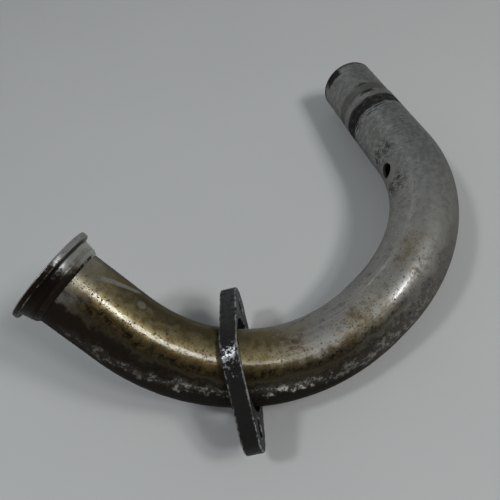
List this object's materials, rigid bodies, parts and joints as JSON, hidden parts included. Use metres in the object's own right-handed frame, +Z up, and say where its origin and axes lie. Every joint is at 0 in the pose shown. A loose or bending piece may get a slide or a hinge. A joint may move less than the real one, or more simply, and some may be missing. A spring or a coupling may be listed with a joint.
{
  "type": "motorcycle exhaust header",
  "caption": "Bent steel exhaust header with a welded port collar, a loose two-bolt clamp flange threaded on the tube and a reduced end for the silencer.",
  "frame": {"origin": "under the middle of the part's box, on the surface that the header lies on", "axes": "+Z is up; +X runs along the longest way, from the port collar towards the silencer end; +Y completes the right-handed frame and both open ends face towards it"},
  "size_m": [0.2895, 0.1498, 0.1012],
  "materials": {
    "tube_chrome": "polished, heat-tinted straw and brown near the port, with rust pits and scuffs",
    "collar_steel": "oxidised dark, with a bright worn edge on the lip",
    "weld_steel": "rough, oxidised brown-black",
    "flange_black": "worn black, bright where it is rubbed"
  },
  "bodies": {
    "root": {"header_tube": "tube_chrome", "port_collar": "collar_steel", "collar_weld": "weld_steel", "clamp_flange": "flange_black"}
  },
  "joints": []
}
